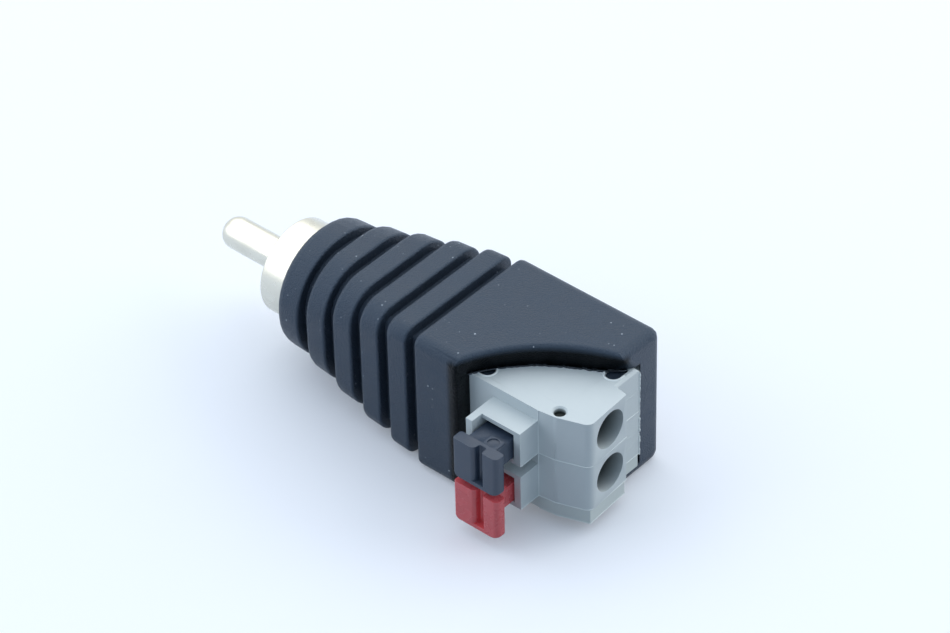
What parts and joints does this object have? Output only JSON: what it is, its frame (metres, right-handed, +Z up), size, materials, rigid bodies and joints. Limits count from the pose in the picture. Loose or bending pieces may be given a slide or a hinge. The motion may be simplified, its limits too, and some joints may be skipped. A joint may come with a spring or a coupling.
{
  "type": "rca balun connector",
  "caption": "RCA plug joined to a push-button terminal block in a ribbed moulded housing, to put a balanced wire pair onto a coaxial jack.",
  "frame": {"origin": "bottom centre of the bounding box, under the housing, with the housing's flat underside on Z = 0", "axes": "+X runs from the plug's tip to the wire entries, along the plug's axis; the buttons are on the -Y side and are pressed towards +Y; +Z is up"},
  "size_m": [0.0474, 0.0188, 0.0151],
  "materials": {
    "black_moulding": "satin, finely textured",
    "grey_polyamide": "satin",
    "dark_polyamide": "satin",
    "red_polyamide": "satin",
    "nickel_plate": "bright, slightly worn",
    "tinned_brass": "dull tin over brass",
    "spring_steel": "bare",
    "white_insulator": "matte",
    "green_laminate": "solder mask",
    "ferrite": "sintered, matt",
    "enamelled_copper": "clear enamel",
    "red_insulation": "smooth",
    "black_insulation": "smooth"
  },
  "bodies": {
    "connector": {"housing": "black_moulding", "rca_center_pin": "nickel_plate", "rca_sleeve": "nickel_plate", "rca_insulator": "white_insulator", "ground_lug": "tinned_brass", "terminal_module_upper": "grey_polyamide", "terminal_module_lower": "grey_polyamide", "terminal_end_plate": "grey_polyamide", "contact_bar_upper": "tinned_brass", "contact_bar_lower": "tinned_brass", "clamp_spring_upper": "spring_steel", "clamp_spring_lower": "spring_steel", "circuit_board": "green_laminate", "ferrite_core": "ferrite", "line_winding": "enamelled_copper", "plug_winding": "enamelled_copper", "signal_lead": "red_insulation", "ground_lead": "black_insulation"},
    "black_push_button": {"button_black": "dark_polyamide"},
    "red_push_button": {"button_red": "red_polyamide"}
  },
  "joints": [
    {"name": "black_button_press", "type": "slide", "parent": "connector", "child": "black_push_button", "axis": [0, 1, 0], "range_m": [0, 0.0007], "stiffness_N_per_m": 1500},
    {"name": "red_button_press", "type": "slide", "parent": "connector", "child": "red_push_button", "axis": [0, 1, 0], "range_m": [0, 0.0007], "stiffness_N_per_m": 1500}
  ]
}
